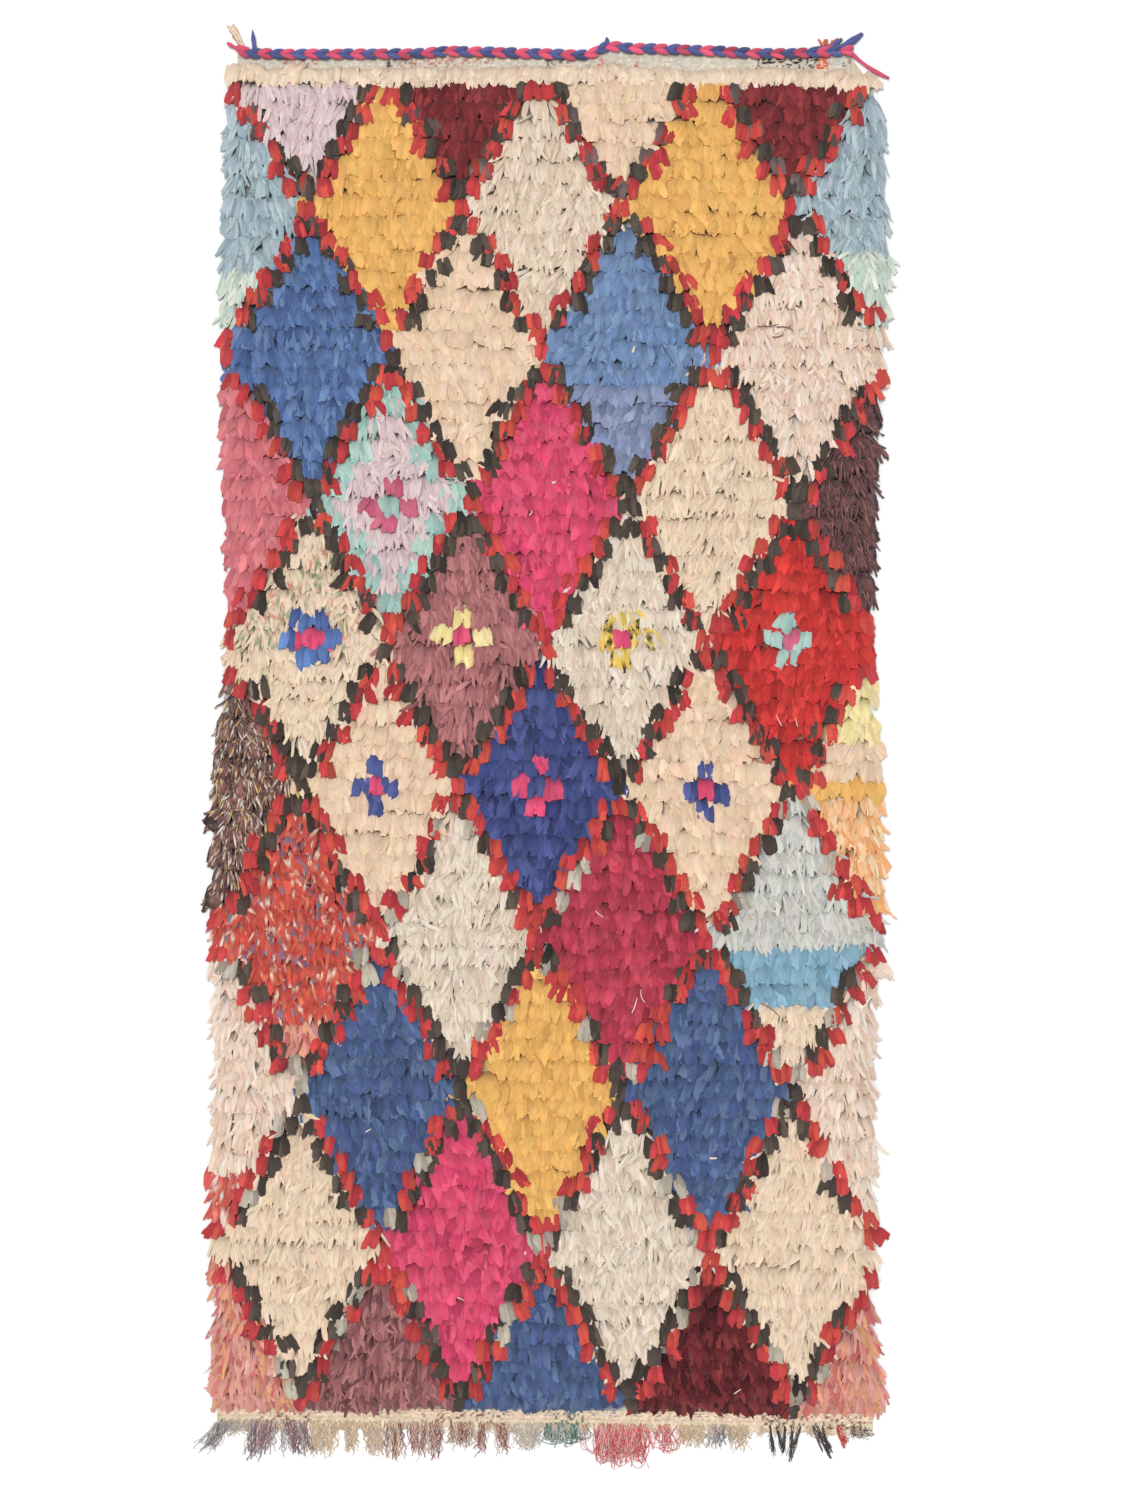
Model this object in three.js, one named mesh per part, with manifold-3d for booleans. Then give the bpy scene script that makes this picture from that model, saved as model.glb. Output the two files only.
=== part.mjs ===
// A boucherouite rug lying flat: a knotted rag pile, a twined two-colour edging on its top end
// and a woven band with a fringe on its bottom end.
// Millimetres, +Z up, the rug's width along X and its length along Y, the top end towards +Y.
import * as THREE from "three";
import Module from "manifold-3d";

const wasm = await Module();
wasm.setup();

// Driving sizes
const seam = 0.3; // gap between neighbouring pieces
const topEnd = 1290; // woven top end, under the edging
const pileTop = 1260; // first row of tufts
const pileRows = 72;
const rowPitch = 34.6;
const pileBottom = pileTop - pileRows * rowPitch;
const halfWidth = 612; // nominal, for the slant of the rows
const rowSlant = 7; // how far the bottom end sinks at its right side and rises at its left
const wovenThickness = 4; // bare woven ends
const pileColumns = 20; // points across one row of tufts
const rimWidth = 18; // where the pile has rounded down towards its side edge
const rimShare = 0.8; // pile height left there
const stagger = 0.22; // sideways shift of the tufts in alternate rows, as a share of a column
const crestShare = 0.62; // where a tuft is highest, as a share of the way to the next row
const valley = { height: 13, spread: 5 };
const crest = { height: 20, spread: 14, ragged: 12 }; // ragged: how uneven a row's line of tips is
const rim = { height: 8, spread: 3, scallop: 4 };
const endHeight = 8; // tuft tips at the bottom end
const bandLength = 24.5;
const edging = { halfWidth: 13, pitch: 21.5, slant: 9, ridge: 10.5, dip: 3.5, groove: 7.5, shoulder: 5 };

// Side edges of the pile, from the top end down
const sideEdges = [
  { y: 1290, left: -572, right: 564 },
  { y: 1262, left: -575, right: 588 },
  { y: 1215, left: -592, right: 614 },
  { y: 1105, left: -588, right: 620 },
  { y: 905, left: -598, right: 630 },
  { y: 646, left: -597, right: 619 },
  { y: 590, left: -597, right: 608 },
  { y: 313, left: -588, right: 600 },
  { y: 128, left: -592, right: 602 },
  { y: -38, left: -616, right: 613 },
  { y: -278, left: -619, right: 619 },
  { y: -556, left: -612, right: 600 },
  { y: -833, left: -621, right: 603 },
  { y: -1092, left: -616, right: 603 },
  { y: -1203, left: -621, right: 622 },
  { y: -1260, left: -612, right: 600 },
];

// Rag ends that lie well past the side edges, by the height at which they lie
const longLocks = [
  { side: -1, y: 1200, reach: 28 },
  { side: -1, y: 906, reach: 17 },
  { side: -1, y: 753, reach: 15 },
  { side: -1, y: -130, reach: 21 },
  { side: -1, y: -280, reach: 17 },
  { side: -1, y: -389, reach: 25 },
  { side: -1, y: -796, reach: 21 },
  { side: -1, y: -905, reach: 15 },
  { side: 1, y: 1199, reach: 27 },
  { side: 1, y: 1090, reach: 20 },
  { side: 1, y: 906, reach: 20 },
  { side: 1, y: 536, reach: 22 },
  { side: 1, y: 0, reach: 28 },
  { side: 1, y: -426, reach: 30 },
  { side: 1, y: -907, reach: 30 },
  { side: 1, y: -1166, reach: 12 },
];

// A lock of rag at the rim: a section at its root in the pile, at its shoulder outside it and at its tip
const lock = {
  rootDepth: 34,
  shoulderReach: 3,
  shortest: 6,
  spread: 11,
  droop: 9,
  lift: 3,
  root: { half: 9, low: 4, high: 10 },
  shoulder: { half: 11, low: 0, high: 7 },
  tip: { half: 5, low: 0, high: 4 },
};

// Fringe clumps from left to right: the width they are rooted over, their strands, length and lean,
// and the share by which their tips draw together
const clumps = [
  { from: -608, to: -584, strands: 4, length: 66, lean: -46, draw: 0.2 },
  { from: -577, to: -552, strands: 3, length: 33, lean: -9, draw: 0.2 },
  { from: -541, to: -482, strands: 7, length: 76, lean: -14, draw: 0.1 },
  { from: -473, to: -448, strands: 3, length: 57, lean: 0, draw: 0.1 },
  { from: -436, to: -388, strands: 6, length: 73, lean: -9, draw: 0.35 },
  { from: -374, to: -351, strands: 3, length: 63, lean: 2, draw: 0.3 },
  { from: -341, to: -308, strands: 4, length: 83, lean: 8, draw: 0.4 },
  { from: -298, to: -267, strands: 4, length: 90, lean: 0, draw: 0.35 },
  { from: -256, to: -193, strands: 7, length: 70, lean: 2, draw: 0.1 },
  { from: -181, to: -136, strands: 5, length: 50, lean: 0, draw: 0.2 },
  { from: -126, to: -117, strands: 2, length: 61, lean: 0, draw: 0.2 },
  { from: -98, to: -73, strands: 3, length: 66, lean: 5, draw: 0.3 },
  { from: -63, to: -14, strands: 6, length: 64, lean: 2, draw: 0.35 },
  { from: -3, to: 59, strands: 7, length: 45, lean: 0, draw: 0.1 },
  { from: 71, to: 197, strands: 13, length: 84, lean: 0, draw: 0.1 },
  { from: 207, to: 231, strands: 3, length: 56, lean: 6, draw: 0.1 },
  { from: 247, to: 289, strands: 5, length: 50, lean: -2, draw: 0.2 },
  { from: 299, to: 332, strands: 4, length: 44, lean: 0, draw: 0.1 },
  { from: 342, to: 369, strands: 3, length: 56, lean: 0, draw: 0.1 },
  { from: 405, to: 474, strands: 7, length: 66, lean: -4, draw: 0.3 },
  { from: 486, to: 514, strands: 4, length: 56, lean: 22, draw: 0.3 },
  { from: 533, to: 544, strands: 2, length: 42, lean: 16, draw: 0.2 },
  { from: 557, to: 592, strands: 4, length: 22, lean: 4, draw: 0.1 },
];

// A strand of the fringe: sections at its root in the band, just outside it, halfway and at its tip
const strand = {
  rootDepth: 12,
  exitReach: 3,
  lengthSpread: 0.24,
  sway: 2,
  root: { half: 1.6, low: 1, high: 3 },
  exit: { half: 2.3, low: 0, high: 4.1 },
  middle: { half: 2.1, low: 0, high: 3.6 },
  tip: { half: 0.9, low: 0, high: 1.8 },
};

// Middle line of the edging
const edgingLine = [
  { x: -574, y: 1299 },
  { x: -526, y: 1288 },
  { x: -264, y: 1288 },
  { x: -178, y: 1292 },
  { x: -12, y: 1288 },
  { x: 72, y: 1286 },
  { x: 112, y: 1301 },
  { x: 160, y: 1298 },
  { x: 290, y: 1294 },
  { x: 419, y: 1288 },
  { x: 565, y: 1294 },
];

// Loose ends of the edging: where they leave it, where they end and half their width there and here
const tails = [
  { x: -560, y: 1296, tipX: -583, tipY: 1342, half: 6, tipHalf: 3 },
  { x: -540, y: 1292, tipX: -545, tipY: 1333, half: 5, tipHalf: 1.5 },
  { x: 111, y: 1303, tipX: 110, tipY: 1319, half: 5, tipHalf: 2 },
  { x: 525, y: 1292, tipX: 583, tipY: 1326, half: 8, tipHalf: 5 },
  { x: 556, y: 1292, tipX: 632, tipY: 1243, half: 5, tipHalf: 3 },
];
const tail = { rootHigh: 5, rootLow: 1.5, tipHigh: 4 };
const topShare = 0.7; // width of a four-sided lock's top, as a share of its foot

// Offsets that keep the repeatable chances of different features apart
const seeds = { scallop: 1, height: 5, ragged: 40, reach: 7, droop: 11, sway: 31 };

// A repeatable value from 0 to 1 for a pair of whole numbers
function chance(a, b) {
  const wave = Math.sin(a * 12.9898 + b * 78.233) * 43758.5453;
  return wave - Math.floor(wave);
}

// The plain side edge at a height, between two rows of its table
function sideLine(side, y) {
  const column = side < 0 ? "left" : "right";
  const next = Math.max(1, sideEdges.findIndex((row) => row.y <= y));
  const [above, below] = [sideEdges[next - 1], sideEdges[next]];
  return THREE.MathUtils.mapLinear(y, above.y, below.y, above[column], below[column]);
}

// A closed skin through loops of equal length. Each loop runs from the right over the top to the left
// as seen along the way from the first loop to the last.
function loft(loops) {
  const count = loops[0].length;
  const indices = [];
  for (let s = 0; s + 1 < loops.length; s++) {
    for (let p = 0; p < count; p++) {
      const a = s * count + p;
      const b = s * count + ((p + 1) % count);
      indices.push(a, a + count, b, b, a + count, b + count);
    }
  }
  const last = (loops.length - 1) * count;
  for (let p = 1; p + 1 < count; p++) {
    indices.push(0, p, p + 1);
    indices.push(last, last + p + 1, last + p);
  }
  const geometry = new THREE.BufferGeometry().setFromPoints(loops.flat());
  return geometry.setIndex(indices);
}

// A lofted geometry as a solid for joining
function toSolid(geometry) {
  const mesh = new wasm.Mesh({
    numProp: 3,
    vertProperties: new Float32Array(geometry.getAttribute("position").array),
    triVerts: new Uint32Array(geometry.index.array),
  });
  return new wasm.Manifold(mesh);
}

// One geometry of a base with strands or locks fused into it
function fuse(base, strands) {
  let solid = toSolid(base);
  for (const piece of strands) solid = solid.add(toSolid(piece));
  const mesh = solid.getMesh();
  const geometry = new THREE.BufferGeometry();
  geometry.setAttribute("position", new THREE.BufferAttribute(mesh.vertProperties, 3));
  return geometry.setIndex(new THREE.BufferAttribute(mesh.triVerts, 1));
}

// How far a row's point is moved along Y by the slant of the rows
function slant(x, y) {
  const share = (pileTop - y) / (pileTop - pileBottom);
  return (-rowSlant * share * x) / halfWidth;
}

// A side edge of the pile, scalloped so that tufts stand out and the lines between them draw in
function sideEdge(side, y, row, isCrest) {
  const uneven = rim.scallop * chance(row, side * seeds.scallop);
  return sideLine(side, y) + side * (isCrest ? uneven : -uneven);
}

// One loop across the pile, from its left floor edge over the tufts to its right floor edge
function pileLoop(y, row, isCrest, heightAt) {
  const left = sideEdge(-1, y, row, isCrest);
  const right = sideEdge(1, y, row, isCrest);
  const inner = pileColumns - 2;
  const pitch = (right - left - 2 * rimWidth) / (inner - 1);
  const shift = isCrest ? (row % 2 ? stagger : -stagger) * pitch : 0;
  const points = [new THREE.Vector3(left, y, 0)];
  points.push(new THREE.Vector3(left, y, heightAt(-1, 0)));
  for (let i = 0; i < inner; i++) {
    const atRim = i === 0 || i === inner - 1;
    const x = left + rimWidth + i * pitch + (atRim ? 0 : shift);
    const uneven = isCrest && !atRim ? crest.ragged * (chance(row, i + seeds.ragged) - 0.5) : 0;
    points.push(new THREE.Vector3(x, y + uneven, heightAt(i, atRim ? rimShare : 1)));
  }
  points.push(new THREE.Vector3(right, y, heightAt(inner, 0)));
  points.push(new THREE.Vector3(right, y, 0));
  points.forEach((point) => (point.y += slant(point.x, y)));
  return points;
}

// Height of the pile at a point of a row; share is 0 on the side edge and 1 in the open field
function pileHeight(row, isCrest) {
  const level = isCrest ? crest : valley;
  return (column, share) => {
    const uneven = chance(row * 2 + Number(isCrest), column + seeds.height);
    if (share === 0) return rim.height + rim.spread * uneven;
    return share * (level.height + level.spread * uneven);
  };
}

function pileSlab() {
  const flat = (height) => () => height;
  const loops = [
    pileLoop(topEnd, 0, false, flat(wovenThickness)),
    pileLoop(pileTop + wovenThickness, 0, false, flat(wovenThickness)),
  ];
  for (let row = 0; row < pileRows; row++) {
    const root = pileTop - row * rowPitch;
    loops.push(pileLoop(root, row, false, pileHeight(row, false)));
    loops.push(pileLoop(root - crestShare * rowPitch, row, true, pileHeight(row, true)));
  }
  loops.push(pileLoop(pileBottom, pileRows, false, flat(endHeight)));
  return loft(loops);
}

// A four-sided loop square to a level heading, at a point on the floor
function fourSides(point, heading, size) {
  const left = new THREE.Vector3(-heading.y, heading.x, 0);
  const corner = (across, up) => point.clone().addScaledVector(left, across).setZ(up);
  return [
    corner(-size.half, size.low),
    corner(-topShare * size.half, size.high),
    corner(topShare * size.half, size.high),
    corner(size.half, size.low),
  ];
}

// A three-sided loop square to a level heading, its flat side down
function threeSides(point, heading, size) {
  const left = new THREE.Vector3(-heading.y, heading.x, 0);
  const corner = (across, up) => point.clone().addScaledVector(left, across).setZ(up);
  return [corner(-size.half, size.low), corner(0, size.high), corner(size.half, size.low)];
}

// A rag end at the rim of one row; the first row is trimmed close and has none
function rimLocks() {
  const locks = [];
  for (const side of [-1, 1]) {
    for (let row = 1; row < pileRows; row++) {
      const y = pileTop - (row + crestShare) * rowPitch;
      const long = longLocks.find((end) => end.side === side && Math.abs(end.y - y) <= rowPitch / 2);
      const reach = long ? long.reach : lock.shortest + lock.spread * chance(row, side * seeds.reach);
      const edge = sideEdge(side, y, row, true);
      const place = (offset, droop) => {
        const x = edge + side * offset;
        return new THREE.Vector3(x, y + slant(x, y) - droop, 0);
      };
      const heading = new THREE.Vector3(side, 0, 0);
      const droop = lock.droop * chance(row, side * seeds.droop) - lock.lift;
      locks.push(
        loft([
          fourSides(place(-lock.rootDepth, 0), heading, lock.root),
          fourSides(place(lock.shoulderReach, 0), heading, lock.shoulder),
          fourSides(place(reach, droop), heading, lock.tip),
        ]),
      );
    }
  }
  return locks;
}

// The plain woven band below the pile
function endBand() {
  const bandTop = pileBottom - seam;
  const loops = [bandTop, bandTop - bandLength].map((y) => {
    const left = sideLine(-1, y);
    const right = sideLine(1, y);
    const points = [
      new THREE.Vector3(left, y, 0),
      new THREE.Vector3(left, y, wovenThickness),
      new THREE.Vector3(right, y, wovenThickness),
      new THREE.Vector3(right, y, 0),
    ];
    points.forEach((point) => (point.y += slant(point.x, pileBottom)));
    return points;
  });
  return loft(loops);
}

// The strands of one fringe clump, rooted side by side and drawn together towards their tips
function clumpStrands(clump, clumpIndex) {
  const bandEnd = pileBottom - seam - bandLength;
  const middle = (clump.from + clump.to) / 2;
  const heading = new THREE.Vector3(0, -1, 0);
  const strands = [];
  for (let i = 0; i < clump.strands; i++) {
    const rootX = THREE.MathUtils.lerp(clump.from, clump.to, i / (clump.strands - 1));
    const tipX = middle + (rootX - middle) * (1 - clump.draw) + clump.lean;
    const length = clump.length * (1 - strand.lengthSpread * chance(clumpIndex, i));
    const sway = strand.sway * (chance(i, clumpIndex + seeds.sway) - 0.5);
    const place = (x, reach) => new THREE.Vector3(x, bandEnd + slant(rootX, pileBottom) - reach, 0);
    strands.push(
      loft([
        threeSides(place(rootX, -strand.rootDepth), heading, strand.root),
        threeSides(place(rootX, strand.exitReach), heading, strand.exit),
        threeSides(place((rootX + tipX) / 2 + sway, length / 2), heading, strand.middle),
        threeSides(place(tipX, length), heading, strand.tip),
      ]),
    );
  }
  return strands;
}

// The edging: two rows of twining whose turns slant opposite ways and meet in chevrons
function edgingCord() {
  const line = new THREE.CatmullRomCurve3(edgingLine.map(({ x, y }) => new THREE.Vector3(x, y, 0)));
  const turns = Math.round(line.getLength() / edging.pitch);
  const base = wovenThickness + seam;
  const loops = [];
  for (let step = 0; step <= 2 * turns; step++) {
    const share = step / (2 * turns);
    const point = line.getPointAt(share);
    const heading = line.getTangentAt(share);
    const left = new THREE.Vector3(-heading.y, heading.x, 0);
    const between = step % 2 === 0;
    const half = edging.halfWidth - (between ? edging.dip / 2 : 0);
    const ridge = edging.ridge - (between ? edging.dip : 0);
    const corner = (across, up) => {
      const ahead = edging.slant * (1 - Math.abs(across) / edging.halfWidth);
      const place = point.clone().addScaledVector(left, across).addScaledVector(heading, ahead);
      return place.setZ(base + up);
    };
    loops.push([
      corner(-half, 0),
      corner(-half, edging.shoulder),
      corner(-half / 2, ridge),
      corner(0, edging.groove - (between ? edging.dip / 2 : 0)),
      corner(half / 2, ridge),
      corner(half, edging.shoulder),
      corner(half, 0),
    ]);
  }
  return loft(loops);
}

// The loose ends of the edging, which fall from it to the floor outside the cloth
function edgingTails() {
  const base = wovenThickness + seam;
  return tails.map((end) => {
    const root = new THREE.Vector3(end.x, end.y, 0);
    const tip = new THREE.Vector3(end.tipX, end.tipY, 0);
    const heading = tip.clone().sub(root).normalize();
    return loft([
      fourSides(root, heading, { half: end.half, low: base + tail.rootLow, high: base + tail.rootHigh }),
      fourSides(tip, heading, { half: end.tipHalf, low: base, high: base + tail.tipHigh }),
    ]);
  });
}

function piece(name, geometry, colour, roughness) {
  geometry.computeVertexNormals();
  const material = new THREE.MeshStandardMaterial({ color: colour, roughness, metalness: 0 });
  const mesh = new THREE.Mesh(geometry, material);
  mesh.name = name;
  return mesh;
}

const rug = new THREE.Group();
rug.add(piece("rag_pile", fuse(pileSlab(), rimLocks()), "#c98f72", 0.95));
rug.add(piece("end_band_fringe", fuse(endBand(), clumps.flatMap(clumpStrands)), "#d8b795", 0.95));
rug.add(piece("twined_edging", fuse(edgingCord(), edgingTails()), "#c4486f", 0.9));

// The origin is on the floor under the middle of the rug
const bounds = new THREE.Box3().setFromObject(rug);
const middle = bounds.getCenter(new THREE.Vector3());
rug.children.forEach((mesh) => mesh.position.set(-middle.x, -middle.y, -bounds.min.z));

export default rug;
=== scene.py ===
"""A boucherouite rug lying flat: every rag, yarn and weave of it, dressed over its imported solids."""

import math
from collections import namedtuple

import bpy
import numpy as np
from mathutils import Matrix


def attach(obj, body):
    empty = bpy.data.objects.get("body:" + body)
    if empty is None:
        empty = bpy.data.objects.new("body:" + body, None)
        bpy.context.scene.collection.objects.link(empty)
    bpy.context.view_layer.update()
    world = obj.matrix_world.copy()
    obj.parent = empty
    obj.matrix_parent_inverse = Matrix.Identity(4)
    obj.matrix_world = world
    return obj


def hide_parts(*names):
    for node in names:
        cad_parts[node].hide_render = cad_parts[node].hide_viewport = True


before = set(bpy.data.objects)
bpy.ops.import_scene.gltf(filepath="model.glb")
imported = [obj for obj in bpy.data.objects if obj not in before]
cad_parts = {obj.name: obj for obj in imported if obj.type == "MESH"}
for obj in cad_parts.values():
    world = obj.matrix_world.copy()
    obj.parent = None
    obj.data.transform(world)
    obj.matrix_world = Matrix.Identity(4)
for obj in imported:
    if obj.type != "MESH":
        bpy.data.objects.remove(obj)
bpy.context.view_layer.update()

# Sizes in millimetres, as in the solids
MM = 0.001
CENTRING = np.array([1.5, -1.5, 0.0])  # how far the solids were moved to centre their box
TOP_END = 1290.0
PILE_TOP = 1260.0
PILE_BOTTOM = -1231.0
FIRST_ROW = 1277.0  # line of the knots' first row
ROWS = 72
ROW_PITCH = 34.6
HALF_WIDTH = 612.0
ROW_SLANT = 7.0
BAND_LENGTH = 24.5
GROUND_TOP = 4.0
KNOT_PITCH = 29.0
OUTLINE_WIDTH = 18.0  # of the knots along a diamond's edge
OUTLINE_ALONE = 1.5 * OUTLINE_WIDTH  # a diamond narrower than this has one knot of its outline there
FIELD_ROOM = 14.0  # a diamond narrower than this inside its outline has no other knots there
EDGE_INSET = 9.0  # how far the outermost knots lie inside the side edges
FIRST_ROW_DROPS = (12.0, 20.0)  # how far below its line the first row is knotted at its left and right
FIRST_ROW_TURN = (-100.0, 200.0)  # where along X it goes from one to the other
FIRST_ROW_SHARE = 0.7  # length of its strips as a share of the others'
LAST_ROW_LENGTH = (38.0, 44.0)
SHOWN_BELOW = 34.0  # how far below its knot the middle of a strip's shown part lies

# The photograph: its height in pixels, and the size of a pixel on the rug
PHOTO_HEIGHT = 1500
PIXEL = 1.85
RUG_LEFT_OF_MIDDLE = 26  # pixels

# Side edges of the pile, from the top end down
SIDE_EDGES = (
    (1290, -572, 564),
    (1262, -575, 588),
    (1215, -592, 614),
    (1105, -588, 620),
    (905, -598, 630),
    (646, -597, 619),
    (590, -597, 608),
    (313, -588, 600),
    (128, -592, 602),
    (-38, -616, 613),
    (-278, -619, 619),
    (-556, -612, 600),
    (-833, -621, 603),
    (-1092, -616, 603),
    (-1203, -621, 622),
    (-1260, -612, 600),
)

SHARP_ANGLE = math.radians(60)  # folds sharper than this keep a crisp edge
LOWEST_RAG = 0.6  # no rag lies lower than this above the floor
LOWEST_YARN = 0.4
YARN_SIDES, THREAD_SIDES, RAG_SIDES = 3, 5, 8  # points around the tubes along paths
FIRST_CORNER = 7 * math.pi / 6  # angle of the first point around a tube along a path
NOISE_SCATTER = 900.0  # how far apart strips may lie in the noise of their material

# Where a tube's sides and its two caps lie in its own cell of the texture map
SIDES_CORNER, SIDES_SIZE = (0.05, 0.05), (0.9, 0.78)
CAP_RADIUS = 0.04
CAP_MIDDLES = ((0.25, 0.92), (0.75, 0.92))

rng = np.random.default_rng(29)


def side_edges(y):
    """Left and right edge of the pile at a height."""
    heights, left, right = np.array(SIDE_EDGES[::-1], float).T
    return np.interp(y, heights, left), np.interp(y, heights, right)


def slant(x, y):
    """How far the slant of the rows moves a point along Y."""
    share = (PILE_TOP - y) / (PILE_TOP - PILE_BOTTOM)
    return -ROW_SLANT * share * x / HALF_WIDTH


def linear(colour):
    """An sRGB colour of 0 to 255 as linear light."""
    share = np.asarray(colour, float) / 255
    return np.where(share <= 0.04045, share / 12.92, ((share + 0.055) / 1.055) ** 2.4)


# How a kind of rag hangs from its knot. Lengths in millimetres, angles in degrees. Knee is the share of
# its length in which a strip rises, fold, plump and crumple the heights of its pleats, its swell and its
# creases, lean how far whole knots turn aside and yaw the single strips, spread and fan how far apart and
# how far turned from each other the outer strips of a knot are, bend how far a tip drifts as a share of its
# length, pinch and point the shares of its width at the knot and at the tip, cut how obliquely the tip is
# cut, and under the width of the strip at the heart of each knot, which fills the pile below the others. A
# section is the strip's cross section as (place across, share of the thickness) from edge to edge.
ROUNDED_SECTION = ((-1, 0), (-0.45, 1), (0.45, 1), (1, 0))
RIDGED_SECTION = ((-1, 0), (0, 1), (1, 0))
Style = namedtuple(
    "Style",
    "strips width length crumple lean yaw spread fan bend pinch point cut thick under"
    " lift knee fold plump section stations",
    defaults=((24, 27.5), 0.42, 0, 0, RIDGED_SECTION, 6),
)
STYLES = {
    "broad": Style(
        strips=5, width=(12, 22), length=(45, 57),
        fold=1.1, crumple=0.9, lean=8, yaw=14, spread=12, fan=5,
        bend=0.08, pinch=0.6, point=(0.35, 0.9), cut=0.6, thick=2.2, under=42,
        section=ROUNDED_SECTION,
    ),
    "pleat": Style(
        strips=7, width=(9, 17), length=(44, 58),
        fold=1.0, crumple=0.9, lean=9, yaw=15, spread=13, fan=6,
        bend=0.1, pinch=0.6, point=(0.3, 0.9), cut=0.7, thick=2.4, under=42,
    ),
    "jersey": Style(
        strips=3, width=(11.5, 16.5), length=(45, 53), lift=(27, 30.5), knee=0.52,
        fold=1.2, plump=1.8, crumple=0.8, lean=11, yaw=5, spread=3.5, fan=3.5,
        bend=0.05, pinch=0.55, point=(0.7, 1.0), cut=0.4, thick=2.6, under=21,
        section=ROUNDED_SECTION,
    ),
    "bud": Style(
        strips=3, width=(13, 19), length=(46, 53), lift=(27, 30.5), knee=0.5,
        fold=0.9, plump=1.6, crumple=0.8, lean=6, yaw=5, spread=7, fan=3,
        bend=0.05, pinch=0.6, point=(0.7, 1.0), cut=0.45, thick=2.6, under=30,
        section=ROUNDED_SECTION,
    ),
    "shred": Style(
        strips=9, width=(5.4, 10), length=(45, 61),
        crumple=0.7, lean=10, yaw=17, spread=14, fan=9,
        bend=0.14, pinch=0.7, point=(0.3, 0.8), cut=0.7, thick=1.8, under=34,
        stations=5,
    ),
    "yarn": Style(
        strips=15, width=(3.6, 5.4), length=(42, 58), lift=(23, 28),
        crumple=1.0, lean=12, yaw=20, spread=14, fan=12,
        bend=0.12, pinch=0.8, point=(0.5, 0.9), cut=0, thick=2.6, under=40,
        stations=5,
    ),
}
UNDER_LIFT = 0.93  # height of the strip at the heart of a knot, as a share of the others'
UNDER_LENGTH = 0.88
KNOT_LIFT_SHARE = 0.6  # how much of its height a strip shares with its whole knot
LAYER_STEP = 1.6  # height of every second strip of a knot above those beside it
STRIP_JITTER = 2.5  # how far strips are scattered about their knot
KNOT_JITTER = 3.0  # how far knots are scattered about their row's line
ROW_WAVES = ((4.0, 170.0, 0.9), (2.5, 53.0, 2.1))  # height, length and shift from row to row
SWAY = 7.0  # degrees by which the headings sway over the rug
SWAY_LENGTHS = (140.0, 190.0)

# How every strip is shaped, and over which spans of its length from the knot
STATION_CROWDING = 1.35  # how much closer together its stations are towards the tip
WIDENS = (0, 0.45)
NARROWS = (0.68, 1)
KNEE_RISE = 0.8  # share of its height that it gains by its knee
CURL = 1.2
ROLL = 0.12
ROLLS = (0, 0.6)
PLEATS = (0.7, 1.6)  # waves across it
PLEAT_SHIFTS = (0, 6.3)
CREASES = (0, 0.3)  # where pleats and crumples set in
CRUMPLE_UP = 0.6  # crumples up and down as a share of those aside
SWELLS = (0.4, 0.65)
SWELL_ENDS = (0.8, 1)
SWELL_LOSS = 0.5
OUTER_HALF = (0.5, 1)  # where it curls and its cut shows
WIDEST_CUT = 8.0  # half width beyond which an oblique cut goes no further
TIP_DROOP = 3.5  # how far the tips bend down onto the row below
DROOPS = (0.65, 1)
KNOT_DEPTH = 1.0  # of the knots in the ground

# Long locks that stick out at the sides, as (height, how far past the edge)
LEFT_LOCKS = ((1200, 28), (906, 17), (753, 15), (-130, 21), (-280, 17), (-389, 25), (-796, 21), (-905, 15))
RIGHT_LOCKS = ((1199, 27), (1090, 20), (906, 20), (536, 22), (0, 28), (-426, 30), (-907, 30), (-1166, 12))
LOCK_SPAN = 16.0  # how near to a lock's height a strip belongs to it
RAGGED = 12.0  # how far the other strips may pass the edge
EDGE_REACH = 45.0  # how near to an edge strips turn outwards
OUTWARD_TURN = 90.0
WIDTH_INSIDE = 0.3  # share of a strip's width taken off its room at the edge
TURN_LIMITS = (-0.5, 0.95)  # sines of the steepest headings there
SLUMP_REACH = 28.0  # how near to the sides and the bottom end the pile slumps to the floor
SLUMP_SPAN = 1.5 * SLUMP_REACH  # over which it falls
SLUMP_SHARE = 0.85  # how much of its height it loses
SLUMP_BOTTOM = PILE_BOTTOM + 14.0

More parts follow.
